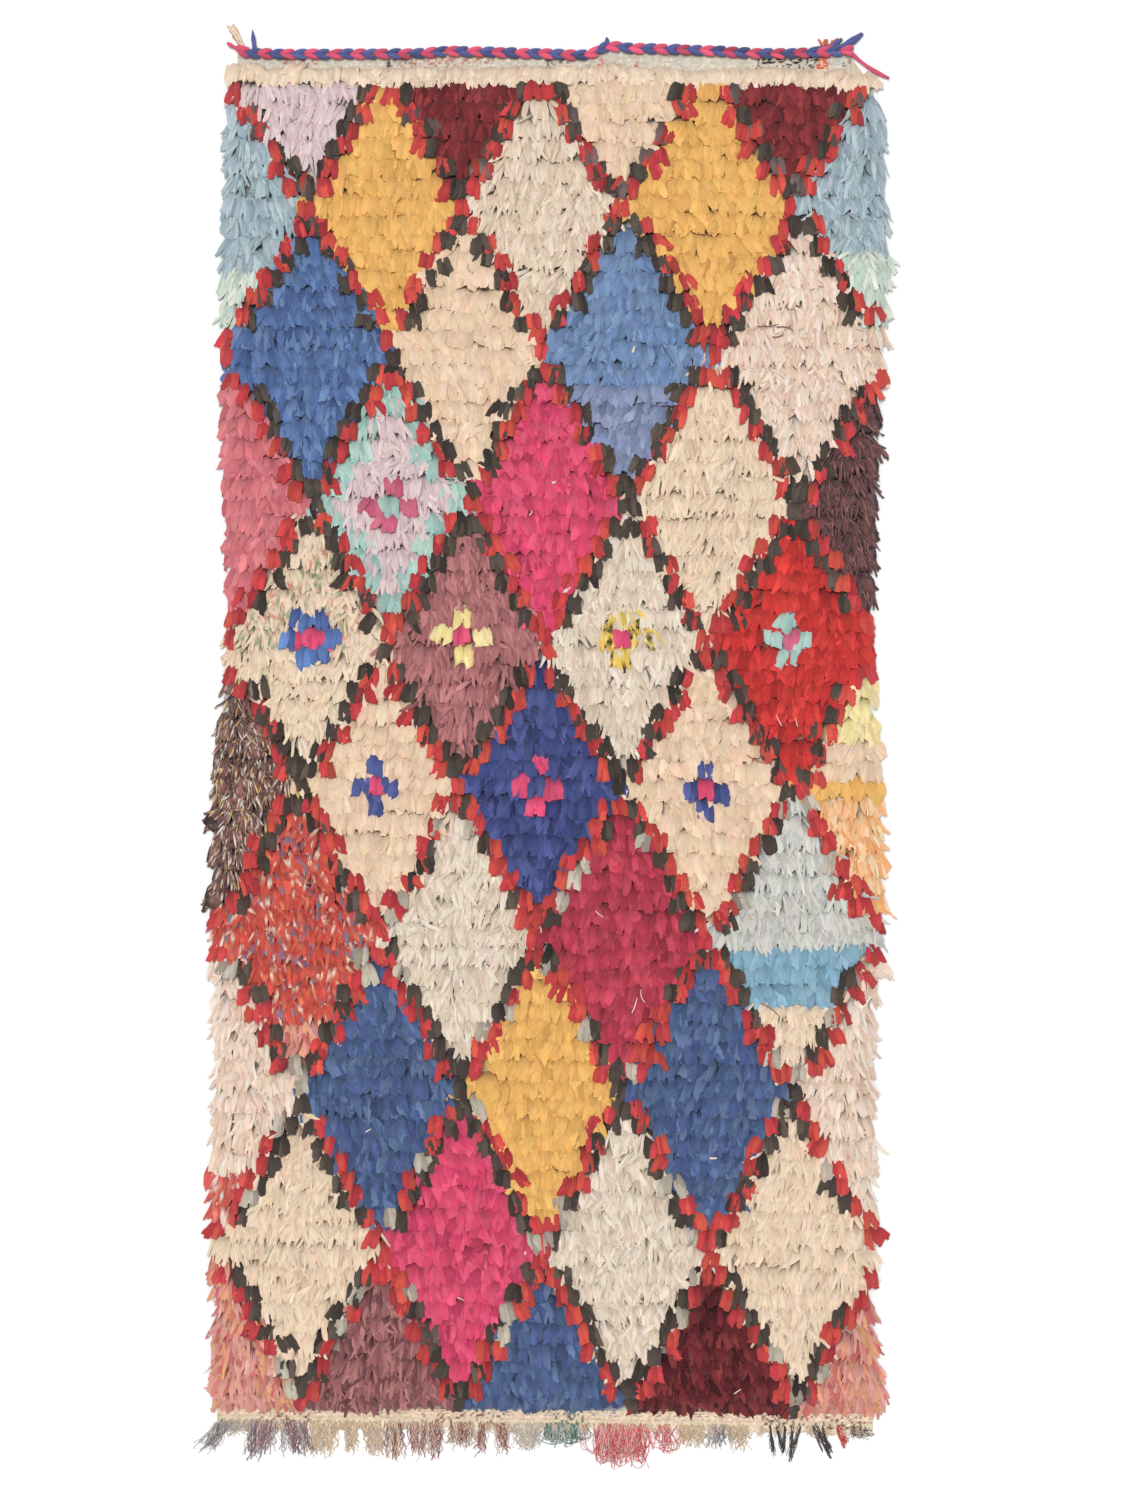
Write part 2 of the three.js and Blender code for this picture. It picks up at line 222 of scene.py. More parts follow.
# The rags: how each kind hangs, the colours it is dyed or mixed from and, where it is a print on a ground
# of the first colour, how much of the ground the print covers
RAGS = {
    "scarlet": ("jersey", [(198, 70, 66), (188, 58, 64), (206, 82, 68), (192, 64, 68)]),
    "charcoal": ("jersey", [(78, 67, 60), (68, 58, 52), (88, 77, 69)]),
    "taupe": ("jersey", [(120, 100, 98), (104, 88, 86), (206, 74, 62)]),
    "ash": ("jersey", [(182, 172, 157), (164, 154, 140), (196, 186, 170)]),
    "ecru": ("pleat", [(238, 216, 192), (232, 208, 182)]),
    "lilac": ("shred", [(224, 203, 202), (216, 192, 196)]),
    "maroon": ("pleat", [(134, 52, 55), (120, 43, 47)]),
    "buff": ("broad", [(236, 208, 180), (230, 200, 170)]),
    "saffron": ("broad", [(236, 184, 106), (228, 174, 98)]),
    "oatmeal": ("shred", [(232, 214, 194), (222, 200, 176)]),
    "sky": ("shred", [(166, 184, 192), (152, 172, 181), (181, 197, 203)]),
    "mint": ("shred", [(204, 218, 204), (190, 208, 194), (220, 222, 210)]),
    "denim": ("pleat", [(90, 116, 164), (80, 106, 154), (104, 130, 172)]),
    "cornflower": ("pleat", [(142, 152, 181), (130, 142, 176)]),
    "bluebell": ("pleat", [(122, 146, 182), (110, 136, 176)]),
    "navy": ("pleat", [(79, 99, 138), (70, 91, 130), (92, 112, 147), (76, 91, 139)]),
    "wine": ("pleat", [(106, 36, 41), (124, 48, 50), (78, 22, 30)]),
    "dusk": ("shred", [(154, 98, 99), (176, 118, 116), (128, 80, 84)]),
    "blush": ("shred", [(236, 210, 190), (238, 220, 204), (226, 196, 176)]),
    "rose": ("pleat", [(216, 126, 132), (206, 112, 120)]),
    "fuchsia": ("broad", [(217, 76, 109), (224, 86, 118), (207, 66, 102)]),
    "plum": ("yarn", [(118, 76, 76), (168, 116, 106), (142, 94, 92), (94, 58, 62)], 0.5),
    "cream": ("shred", [(236, 214, 188), (230, 204, 176)]),
    "oyster": ("shred", [(228, 210, 190), (216, 198, 176), (234, 220, 202)]),
    "mauve": ("shred", [(186, 123, 123), (168, 107, 107)]),
    "red": ("broad", [(208, 62, 57), (198, 52, 51)]),
    "royal": ("broad", [(67, 77, 130), (60, 69, 121), (77, 86, 139)]),
    "cobalt": ("bud", [(94, 124, 182), (80, 98, 158)]),
    "bud_blue": ("bud", [(84, 94, 150), (74, 84, 140)]),
    "bud_pink": ("bud", [(222, 84, 120), (212, 72, 110)]),
    "bud_rose": ("bud", [(198, 92, 122), (208, 108, 132)]),
    "bud_jade": ("bud", [(176, 204, 194), (160, 194, 186)]),
    "bud_lemon": ("bud", [(240, 220, 150), (244, 226, 170)]),
    "lemon": ("broad", [(240, 220, 160), (244, 226, 176)]),
    "jade": ("pleat", [(178, 206, 196), (160, 194, 186)]),
    "wasp": ("shred", [(232, 196, 92), (74, 60, 46), (240, 214, 130)], 0.6),
    "flecked": (
        "yarn",
        [(138, 96, 88), (232, 212, 196), (236, 220, 204), (180, 130, 114), (92, 62, 68), (234, 202, 128)],
        0.6,
    ),
    "apricot": ("shred", [(244, 192, 142), (248, 210, 170), (236, 170, 114)]),
    "poppy": (
        "shred",
        [(206, 84, 72), (232, 204, 184), (126, 116, 136), (216, 122, 90), (196, 72, 64)],
        0.5,
    ),
    "crimson": ("broad", [(190, 68, 86), (176, 56, 74)]),
    "silver": ("shred", [(206, 204, 196), (194, 194, 188), (214, 212, 204)]),
    "azure": ("broad", [(140, 178, 196), (126, 166, 186)]),
    "salmon": ("shred", [(216, 147, 134), (223, 162, 152), (222, 159, 121), (203, 113, 107)]),
    "candy": ("shred", [(206, 92, 84), (236, 212, 198), (218, 132, 116)], 0.5),
    "meadow": ("shred", [(232, 210, 184), (212, 142, 120), (150, 158, 126), (226, 196, 170)], 0.4),
}

# How dyes vary from strip to strip, more so in dark cloth, and the painted shade that darkens each strip
# towards its knot, where the strips above shade the pile, more so in dark cloth
DYE_VARIES = 0.04
DARK_DYE_VARIES = 0.38
DYE_LIMITS = (0.65, 1.4)
HUE_VARIES = 0.02
LIGHT_LIMITS = (0.002, 0.95)
# Painted shade at the knots: how much darker a strip is painted there, and how much more in dark cloth
PAINTED_KNOT_SHADE = 0.1
DARK_PAINTED_KNOT_SHADE = 0.4
# the span of a strip over which that painted shade fades out
PAINTED_SHADE_ENDS = (0.3, 0.75)
EYE_WEIGHTS = (0.21, 0.72, 0.07)  # of red, green and blue
EYE_POWER = 0.45

# How a cloth's surface looks: roughness, the size of its threads, and how strong its creases are
SURFACES = {
    "broad": (0.85, 0.9, 0.5),
    "pleat": (0.85, 0.9, 0.5),
    "jersey": (0.8, 0.7, 0.4),
    "bud": (0.8, 0.7, 0.4),
    "shred": (0.9, 1.0, 0.45),
    "yarn": (0.95, 0.6, 0.6),
}
ROUGHNESS_VARIES = 0.08
SHEEN, SHEEN_ROUGHNESS, SPECULAR = 0.25, 0.5, 0.2
STREAK_SCALE = (0.2, 0.035, 1.0)  # across a strip, along it and from strip to strip
# Streak values and the shades of the dye they map to. Low streaks are also the sunk creases of the bump, so
# they are worn dye and painted shade in the creases at once
STREAK_RANGE, STREAK_SHADES = (0.3, 0.7), (0.87, 1.06)
NOISE_DETAIL = 2.0
GRAIN_HEIGHT = 0.4  # of the threads, as a share of the streaks'
CREASE_DEPTH = 2.5

# The flat-woven strip at the top and the band at the bottom: places along X whose wefts are marked, with
# the share of marked stitches, the ribs they lie on (0 is the top one) and the mark's colour
STRIP_TOP, STRIP_BOTTOM = 1289.0, 1256.0
STRIP_COLOURS = ((206, 204, 193), (197, 197, 187), (216, 206, 190))
STRIP_MARKS = (
    (-493, -425, 0.4, (1, 4), (176, 128, 112)),
    (-296, -250, 0.35, (1, 6), (166, 132, 122)),
    (-250, -98, 0.35, (1, 6), (190, 130, 112)),
    (-296, -288, 0.9, (0, 5), (92, 78, 84)),
    (-4, 40, 0.4, (2, 7), (120, 112, 104)),
    (4, 16, 0.8, (1, 3), (74, 116, 150)),
    (94, 104, 0.8, (2, 5), (214, 112, 72)),
    (160, 182, 0.3, (3, 6), (198, 110, 96)),
    (384, 500, 0.55, (0, 4), (62, 58, 54)),
    (384, 500, 0.35, (4, 7), (84, 76, 70)),
    (498, 520, 0.8, (0, 6), (222, 104, 62)),
    (520, 545, 0.6, (1, 4), (182, 200, 206)),
    (545, 575, 0.4, (0, 5), (128, 118, 108)),
)
BAND_COLOURS = ((230, 207, 180), (214, 190, 163), (238, 218, 194))
BAND_MARKS = (
    (-535, -440, 0.2, (1, 6), (142, 104, 90)),
    (-234, -80, 0.2, (1, 6), (150, 106, 88)),
    (10, 70, 0.3, (1, 6), (96, 112, 96)),
    (394, 590, 0.25, (1, 6), (124, 98, 84)),
)
WARP_COLOUR = (206, 194, 174)
KNOT_BACK_SHARE = 0.6  # how much of a knot's colour shows on the woven ground
RIB_PITCH = 4.6
WARP_PITCH = 7.5
WEAVE_HEIGHT, RIB_HEIGHT, WARP_HEIGHT, WEAVE_BACK = 2.6, 0.9, 0.5, 0.3
WEAVE_JITTER = 0.4
STEPS_A_RIB = 3
WEFT_VARIES = 0.11
LOWER_EDGE_WAVES = ((2.2, 31.0), (1.4, 11.0))  # height and length
STRIP_SIDES = (-573, 566)
BAND_SIDES = (-610, 602)
BAND_OVERLAP = 12.0  # how far the band goes up under the pile
GROUND_COLUMNS = 62
GROUND_INSET = 2.0
GROUND_FACE, GROUND_BACK, GROUND_RIB = 2.4, 0.2, 0.7

# The fringe: clumps of yarns as (from, to, strands, length, lean, draw, mix). Draw is how far the tips
# are drawn together. The last is a short row of yarns all along.
YARN_MIXES = {
    "grey": ((176, 164, 164), (228, 222, 217), (140, 128, 134)),
    "pale": ((220, 206, 192), (198, 186, 176)),
    "purple": ((166, 144, 152), (234, 227, 225), (128, 106, 114), (188, 134, 128)),
    "cream": ((238, 212, 182), (228, 198, 166), (244, 226, 202)),
    "brown": ((184, 126, 106), (242, 220, 195), (158, 104, 88)),
    "russet": ((192, 120, 106), (224, 184, 168), (158, 94, 86), (240, 222, 205)),
    "stone": ((230, 218, 203), (212, 199, 186), (240, 230, 217)),
    "green": ((86, 132, 114), (122, 156, 142), (222, 218, 211)),
    "coral": ((226, 88, 92), (236, 112, 110), (250, 222, 216), (240, 156, 150)),
    "ink": ((66, 57, 53), (92, 80, 74)),
    "scarlet": ((216, 66, 64), (226, 92, 80)),
    "pepper": ((128, 118, 110), (190, 180, 166), (92, 84, 78)),
}
FRINGE = (
    (-608, -584, 4, 66, -30, 0.2, "grey"),
    (-577, -552, 3, 33, -9, 0.2, "pale"),
    (-548, -498, 7, 76, -14, 0.1, "purple"),
    (-494, -444, 6, 66, 4, 0.1, "purple"),
    (-436, -388, 6, 73, -9, 0.35, "cream"),
    (-374, -351, 3, 63, 2, 0.3, "cream"),
    (-341, -308, 4, 83, 8, 0.4, "cream"),
    (-298, -267, 4, 90, 0, 0.35, "brown"),
    (-256, -193, 7, 70, 2, 0.1, "russet"),
    (-181, -136, 5, 50, 0, 0.2, "brown"),
    (-126, -117, 2, 61, 0, 0.2, "brown"),
    (-98, -73, 3, 66, 5, 0.3, "russet"),
    (-63, -14, 6, 64, 2, 0.35, "stone"),
    (-3, 59, 7, 45, 0, 0.1, "green"),
    (94, 180, 10, 84, 0, 0.1, "coral"),
    (207, 224, 2, 56, 6, 0.1, "coral"),
    (247, 289, 5, 50, -2, 0.2, "cream"),
    (299, 332, 4, 44, 0, 0.1, "grey"),
    (342, 369, 3, 56, 0, 0.1, "cream"),
    (405, 474, 5, 68, -4, 0.3, "ink"),
    (486, 514, 3, 60, 22, 0.3, "ink"),
    (533, 544, 2, 42, 16, 0.2, "scarlet"),
    (557, 592, 4, 22, 4, 0.1, "pepper"),
    (-600, 590, 40, 22, 0, 0.0, "cream"),
)
YARNS_PER_STRAND = 12
YARN_STATIONS = 9
YARN_HALF = (0.45, 0.85)
LOCK_JITTER = 4.0  # of the locks' tips
LOCK_LENGTHS = (0.72, 1.0)
ROOT_JITTER, TIP_JITTER = 4.0, 7.0  # of the yarns in their lock
YARN_LENGTHS = (0.6, 1.0)
YARN_STARTS = (5, 15)  # above the band's lower edge
YARN_DRIFT = 1.2  # power with which a yarn goes over to its tip
YARN_TURNS = (0.8, 2.8)
YARN_WAVES = (1.2, 5.0)
WAVE_GROWS = (0, 0.4)
WAVE_UP = 0.2
LOOPED_MIXES = ("coral", "green")  # mixes with yarns that turn back up
LOOP_SHARE = 0.6
LOOP_BULGE = 16.0
LOOP_SPAN = 32.0
TIGHT_MIXES = ("ink", "scarlet")  # yarns that keep together in cords
TIGHT_JITTER = 0.35
FRINGE_BASE = 1.6
FRINGE_RISE = 3.2  # how far above that the yarns come out of the band
RISE_ENDS = (0.1, 0.5)
YARN_LAYERS = 3.5  # how high the yarns lie over each other
LAYERS_GROW = (0, 0.3)

# The twined edging: its line, and the loose ends of its rags as (from, to, half width, tip, colour)
EDGING_LINE = (
    (-574, 1299), (-526, 1288), (-264, 1288), (-178, 1292), (-12, 1288), (72, 1286), (112, 1301),
    (160, 1298), (290, 1294), (419, 1288), (565, 1294),
)
EDGING_PITCH = 21.5
EDGING_BASE = 4.3
EDGING_COLOURS = ((217, 87, 117), (86, 93, 146))
PINK, BLUE = EDGING_COLOURS
CHEVRON_STATIONS = 9
CHEVRON_LENGTH = 28.0
CHEVRON_LEAD = 0.15  # share of the pitch by which one starts under the one before
CHEVRON_JITTER = 1.6
CHEVRON_SPREAD = (1.6, 5.2)  # from the line at its start, and further at its end
CHEVRON_HEIGHT, CHEVRON_ARCH = 4.2, 2.6
CHEVRON_HALF, CHEVRON_TAPER, CHEVRON_FLATNESS = 5.4, 0.35, 0.8
CHEVRON_SIZES = (0.86, 1.1)
CHEVRON_SHADES = (0.97, 0.17)  # mean and spread
TAILS = (
    ((-572, 1298), (-592, 1309), 5, 0.7, PINK),
    ((-540, 1292), (-545, 1333), 7, 0.15, BLUE),
    ((111, 1303), (110, 1319), 6, 0.4, BLUE),
    ((505, 1296), (545, 1316), 7, 0.6, BLUE),
    ((525, 1294), (583, 1326), 9, 0.6, BLUE),
    ((530, 1290), (556, 1296), 6, 0.8, PINK),
    ((556, 1294), (632, 1243), 5, 0.8, PINK),
)
TAIL_STATIONS = 8
TAIL_BOW = 0.06
TAIL_TWIST, TAIL_TURN = 0.2, 9  # how far it narrows in its twist, and the twist's angle
TAIL_HEIGHT, TAIL_DROP, TAIL_FLATNESS = 5, 3, 0.35

# Tufts of yarn at the top end: the cream tail at its left corner and the orange bits knotted into the
# edging, as (yarns, from, to, spread, colours)
TUFTS = (
    (40, (-556, 1290), (-583, 1338), 4, YARN_MIXES["cream"]),
    (26, (515, 1290), (520, 1306), 9, ((226, 110, 64), (236, 134, 92))),
)
TUFT_STATIONS = 8
TUFT_HALF = 1.7
TUFT_HEIGHT, TUFT_ARCH = 4, 6
TUFT_CRUMPLE = 0.9
TUFT_SPREAD = (1, 0.6)  # shares of it at the tips, along X and Y
TUFT_ROOT_SPREAD = 0.4

# Loose threads that lie on the pile, as (place, length, heading in degrees, half width, colour)
PALE, DARK, RUST, TAN = (238, 224, 206), (70, 60, 58), (196, 84, 66), (150, 132, 110)
LOOSE_THREADS = (
    ((12, 495), 9, 20, 2.6, PALE), ((-31, 438), 12, 60, 1.2, PALE), ((158, 738), 14, 70, 2.4, PALE),
    ((404, 784), 44, 4, 1.0, DARK), ((436, 776), 38, -8, 1.0, DARK), ((424, 766), 26, 12, 0.9, DARK),
    ((428, 55), 26, 118, 1.1, PALE), ((460, 52), 20, 105, 1.0, PALE), ((385, -14), 46, -24, 1.0, RUST),
    ((160, -470), 34, 70, 1.2, PALE), ((178, -452), 30, 110, 1.0, PALE), ((96, -300), 22, -40, 1.1, PALE),
    ((408, -478), 52, -35, 1.2, TAN), ((305, -750), 16, 0, 2.2, PALE), ((-330, -700), 14, 30, 1.6, PALE),
    ((-160, -1010), 16, -20, 1.3, PALE), ((350, -1180), 18, 35, 1.2, PALE),
)
THREAD_HEIGHT = 31.5
THREAD_JITTER = 0.5
THREAD_FLATNESS = 0.6
THREAD_TAPER = 0.5
THREAD_CURL = 1.2
THREAD_STATIONS = 9

# The studio: a pale floor, an even sky and a soft sun, tilted a little from straight down
FLOOR_SIZE = 14
FLOOR_GREY = 0.93
SKY_STRENGTH = 0.36
SUN_STRENGTH = 2.5
SUN_SOFTNESS = math.radians(30)
SUN_TILT = (math.radians(-11), math.radians(-7), 0)
LENS, SENSOR_WIDTH = 85, 36

# The diamond lattice. A row of diamonds has its height, half height and the rags of its outline with
# their shares. A diamond has its place along X, its rag, any bands (rags further down, each from a
# height), the rags of the ring and the heart of a cross at its middle, the rag of a border inside its
# outline, and the chart of the cross.
HALF_DIAMOND = 148.0
CROSS = (".o.", "oxo", ".o.")
WIDE_CROSS = (".oo.", "oxxo", ".oo.")
Diamond = namedtuple(
    "Diamond",
    "x rag bands ring heart border chart",
    defaults=((), None, None, None, CROSS),
)
DiamondRow = namedtuple("DiamondRow", "y half outline diamonds")
RED_LINE = (("scarlet", 1.0),)
WORN_RED_LINE = (("scarlet", 0.84), ("ash", 0.16))
DARK_LINE = (("charcoal", 1.0),)
WORN_DARK_LINE = (("charcoal", 0.55), ("ash", 0.2), ("scarlet", 0.25))
FADED_DARK_LINE = (("charcoal", 0.84), ("ash", 0.1), ("scarlet", 0.06))
TOP_LINE = (("charcoal", 0.55), ("taupe", 0.45))
LATTICE = (
    DiamondRow(1272, 268, TOP_LINE, (
        (-450, "lilac"), (-156, "maroon"), (123, "buff"), (456, "maroon"))),
    DiamondRow(999, 245, RED_LINE, (
        (-590, "sky", ((883, "mint"),)), (-299, "saffron"), (-16, "oatmeal"),
        (295, "saffron"), (600, "sky", ((911, "mint"),)))),
    DiamondRow(726, 268, DARK_LINE, (
        (-434, "denim"), (-154, "buff"), (149, "bluebell", ((687, "cornflower"),)),
        (475, "blush"))),
    DiamondRow(456, 268, RED_LINE, (
        (-589, "rose"), (-290, "lilac", (), "bud_rose", "bud_jade", "jade"),
        (-3, "fuchsia"), (306, "cream"), (612, "plum"))),
    DiamondRow(188, 268, DARK_LINE, (
        (-430, "meadow", ((205, "cream"),), "cobalt", "bud_pink", None, WIDE_CROSS),
        (-154, "mauve", (), "bud_lemon", "bud_pink"),
        (136, "oyster", (), "wasp", "bud_pink"), (450, "red", (), "bud_jade", "bud_rose"))),
    DiamondRow(-71, 268, RED_LINE, (
        (-613, "flecked"), (-312, "buff", (), "bud_blue", "bud_pink"),
        (-19, "royal", (), "bud_pink", "bud_blue"), (291, "buff", (), "bud_blue", "bud_pink"),
        (612, "lemon", ((32, "buff"), (-53, "saffron"), (-97, "apricot"))))),
    DiamondRow(-354, 282, WORN_DARK_LINE, (
        (-461, "poppy", ((-491, "salmon"),)), (-160, "oyster"), (136, "crimson"),
        (456, "silver", ((-376, "azure"), (-463, "cream"))))),
    DiamondRow(-635, 290, WORN_RED_LINE, (
        (-595, "blush", ((-769, "candy"),)), (-312, "navy"), (-12, "saffron"),
        (293, "navy"), (595, "blush"))),
    DiamondRow(-926, 290, FADED_DARK_LINE, (
        (-456, "cream"), (-160, "fuchsia"), (145, "oyster"), (456, "cream"))),
    DiamondRow(-1203, 268, WORN_RED_LINE, (
        (-595, "salmon"), (-308, "dusk"), (-12, "navy"), (312, "wine"),
        (612, "salmon"))),
)
CELLS = [(row, Diamond(*diamond)) for row in LATTICE for diamond in row.diamonds]
SAMPLE_STEP = 2.0  # between the points at which a row of knots looks up its cells


def cells_at(x, y):
    """The cell of the lattice that each point belongs to, as an index into CELLS."""
    distance = [
        np.abs(x - diamond.x) / HALF_DIAMOND + np.abs(y - row.y) / row.half
        for row, diamond in CELLS
    ]
    return np.argmin(distance, axis=0)


def field_places(diamond, from_x, to_x):
    """Places of the knots inside a diamond, in step with the cross at its heart where it has one."""
    middle = diamond.x if diamond.ring and from_x < diamond.x < to_x else (from_x + to_x) / 2
    odd = len(diamond.chart[0]) % 2
    sides = []
    for side, room in ((-1, middle - from_x), (1, to_x - middle)):
        count = max(round(room / KNOT_PITCH + 0.1 - odd / 2), 1 - odd)
        steps = np.arange(count) + 0.5 + odd / 2
        sides.append(middle + side * steps * room / (count + odd / 2))
    return np.concatenate([sides[0][::-1], [middle] * odd, sides[1]])


def field_rag(row, diamond, x, y):
    """The rag of a knot inside a diamond: its cross, a band or the ground."""
    column = math.floor((x - diamond.x) / KNOT_PITCH + len(diamond.chart[0]) / 2)
    line = math.floor((row.y - y) / ROW_PITCH + len(diamond.chart) / 2)
    if diamond.ring and 0 <= column < len(diamond.chart[0]) and 0 <= line < len(diamond.chart):
        mark = diamond.chart[line][column]
        if mark != ".":
            return diamond.ring if mark == "o" else diamond.heart
    rag = diamond.rag
    for height, below in diamond.bands:
        if y < height:
            rag = below
    return rag


def outline_rag(row):
    """A rag drawn for a knot of the outline of a row's diamonds."""
    rags, shares = zip(*row.outline)
    return rags[rng.choice(len(rags), p=shares)]


def knots_of_row(index):
    """Knots of one row, as (x, y, row, rag). The end knots of each diamond are its outline."""
    y = FIRST_ROW - index * ROW_PITCH
    left, right = side_edges(y - SHOWN_BELOW)
    left += EDGE_INSET
    right -= EDGE_INSET
    if index == 0:
        places = np.arange(left, right, KNOT_PITCH)
        return [(x, y, index, "ecru") for x in places]
    samples = np.arange(left, right, SAMPLE_STEP)
    cells = cells_at(samples, y - SHOWN_BELOW)
    turns = np.flatnonzero(np.diff(cells)) + 1
    starts = np.concatenate([[left], samples[turns]])
    ends = np.concatenate([samples[turns], [right]])
    knots = []
    order = cells[np.concatenate([[0], turns])]
    narrow = ends - starts < OUTLINE_ALONE
    for i, (start, end) in enumerate(zip(starts, ends)):
        row, diamond = CELLS[order[i]]
        if narrow[i]:
            knots.append(((start + end) / 2, y, index, outline_rag(row)))
            continue
        from_x, to_x = start, end
        if i > 0 and not narrow[i - 1]:
            shared = CELLS[order[i - 1]][0] is row
            from_x += OUTLINE_WIDTH / 2 if shared else OUTLINE_WIDTH
            if not shared:
                knots.append((start + OUTLINE_WIDTH / 2, y, index, outline_rag(row)))
        if i + 1 < len(order) and not narrow[i + 1]:
            shared = CELLS[order[i + 1]][0] is row
            to_x -= OUTLINE_WIDTH / 2 if shared else OUTLINE_WIDTH
            knots.append((end if shared else end - OUTLINE_WIDTH / 2, y, index, outline_rag(row)))
        if to_x - from_x < FIELD_ROOM:
            continue
        places = field_places(diamond, from_x, to_x)
        for x in places:
            rag = field_rag(row, diamond, x, y - SHOWN_BELOW)
            at_border = diamond.border and x in places[[0, -1]]
            knots.append((x, y, index, diamond.border if at_border else rag))
    return knots


def tube_faces(stations, around):
    """Faces of one closed tube: quads along it and a cap at each end, with each corner's place on it."""
    faces = []
    corners = []
    for s in range(stations - 1):
        for p in range(around):
            q = (p + 1) % around
            faces.append([s * around + p, (s + 1) * around + p, (s + 1) * around + q, s * around + q])
            corners.append([(p, s), (p, s + 1), (p + 1, s + 1), (p + 1, s)])
    turn = 2 * np.pi * np.arange(around) / around
    ring = np.stack([np.cos(turn), np.sin(turn)], axis=1)
    last = (stations - 1) * around
    faces.append(list(range(around)))
    faces.append([last + p for p in reversed(range(around))])
    cells = (around, stations - 1)
    uv = [np.array(c, float) / cells * SIDES_SIZE + SIDES_CORNER for c in corners]
    uv.append(ring * CAP_RADIUS + CAP_MIDDLES[0])
    uv.append(ring[::-1] * CAP_RADIUS + CAP_MIDDLES[1])
    return faces, np.concatenate(uv)


def tube_mesh(name, points, colours, lay, crisp):
    """A mesh of closed tubes. points, colours and lay are arrays of (tube, station, point, 3)."""
    count, stations, around = points.shape[:3]
    faces, uv = tube_faces(stations, around)
    sizes = np.array([len(face) for face in faces])
    corner = np.concatenate(faces)
    per_tube = stations * around
    index = (corner[None, :] + per_tube * np.arange(count)[:, None]).ravel()
    starts = np.concatenate([[0], np.cumsum(np.tile(sizes, count))[:-1]])
    mesh = bpy.data.meshes.new(name)
    mesh.vertices.add(count * per_tube)
    mesh.vertices.foreach_set("co", ((points + CENTRING) * MM).ravel())
    mesh.loops.add(len(index))
    mesh.loops.foreach_set("vertex_index", index)
    mesh.polygons.add(len(starts))
    mesh.polygons.foreach_set("loop_start", starts)
    mesh.polygons.foreach_set("use_smooth", np.ones(len(starts), bool))
    mesh.update(calc_edges=True)
    if crisp:
        mesh.set_sharp_from_angle(angle=SHARP_ANGLE)
    grid = math.ceil(math.sqrt(count))
    tubes = np.arange(count)
    cell = np.stack([tubes % grid, tubes // grid], axis=1)
    mesh.uv_layers.new(name="OFBake").uv.foreach_set(
        "vector", ((cell[:, None, :] + uv[None]) / grid).ravel()
    )
    rgba = np.concatenate([colours, np.ones(colours.shape[:3] + (1,))], axis=-1)
    mesh.attributes.new("Rag", "FLOAT_COLOR", "POINT").data.foreach_set("color", rgba.ravel())
    mesh.attributes.new("Lay", "FLOAT_VECTOR", "POINT").data.foreach_set("vector", lay.ravel())
    piece = bpy.data.objects.new(name, mesh)
    bpy.context.collection.objects.link(piece)
    return piece


def between(span, count):
    """Random numbers spread evenly over a span."""
    return rng.uniform(span[0], span[1], count)


def smooth(share):
    """A share that starts and ends gently."""
    share = np.clip(share, 0, 1)
    return share * share * (3 - 2 * share)


def ramp(t, span):
    """A gentle rise from 0 to 1 over a span."""
    return smooth((t - span[0]) / (span[1] - span[0]))


def station_places(stations):
    """Places along a strip, closer together towards the tip, which shows."""
    return 1 - (1 - np.linspace(0, 1, stations)) ** STATION_CROWDING


def hanging_strips(style, roots, yaw, length, width, lift):
    """Points of many strips that rise from their knots and lie over the rows below them, like shingles."""
    count = len(roots)
    section = np.array(style.section, float)
    across = section[:, 0][None, None, :]
    upper = section[:, 1][None, None, :]
    t = station_places(style.stations)[None, :, None]

    def each(values):
        return np.asarray(values)[:, None, None]

    half = each(width) / 2 * (style.pinch + (1 - style.pinch) * ramp(t, WIDENS))
    half = half * (1 - (1 - each(between(style.point, count))) * ramp(t, NARROWS))
    rise = KNEE_RISE * (1 - (1 - np.clip(t / style.knee, 0, 1)) ** 2) + (1 - KNEE_RISE) * t
    curl = each(rng.normal(0, CURL, count)) * ramp(t, OUTER_HALF)
    roll = each(rng.normal(0, ROLL, count)) * ramp(t, ROLLS)
    pleats = np.sin(np.pi * across * each(between(PLEATS, count)) + each(between(PLEAT_SHIFTS, count)))
    swell = style.plump * (1 - across ** 2) * ramp(t, SWELLS) * (1 - SWELL_LOSS * ramp(t, SWELL_ENDS))
    fold = pleats * style.fold * ramp(t, CREASES) + swell
    slope = each(rng.normal(0, style.cut, count)) * ramp(t, OUTER_HALF)
    ahead = each(length) * t + slope * across * np.minimum(half, WIDEST_CUT)
    aside = across * half * np.cos(roll) + each(rng.normal(0, style.bend, count) * length) * t * t
    droop = TIP_DROOP * ramp(t, DROOPS)
    up = each(lift) * rise - droop + curl + np.sin(roll) * across * half + fold - (1 - upper) * style.thick
    shape = (count, style.stations, len(section))
    crumple = rng.normal(0, style.crumple, (3,) + shape) * ramp(t, CREASES)
    ahead = ahead + crumple[0]
    aside = aside + crumple[1]
    up = up + CRUMPLE_UP * crumple[2]
    turn = each(np.radians(yaw))
    x = each(roots[:, 0]) + ahead * np.sin(turn) + aside * np.cos(turn)
    y = each(roots[:, 1]) - ahead * np.cos(turn) + aside * np.sin(turn)
    z = np.maximum(each(roots[:, 2]) + up, LOWEST_RAG)
    lay = np.stack([
        np.broadcast_to(across * half, shape),
        np.broadcast_to(each(length) * t, shape),
        np.broadcast_to(each(rng.uniform(0, NOISE_SCATTER, count)), shape),
    ], axis=-1)
    return np.stack([np.broadcast_to(v, shape) for v in (x, y, z)], axis=-1), lay


def darkness(colours):
    """How dark linear colours look, from 0 to 1, as a last axis of one."""
    return 1 - np.clip(colours @ EYE_WEIGHTS, 0, 1)[..., None] ** EYE_POWER


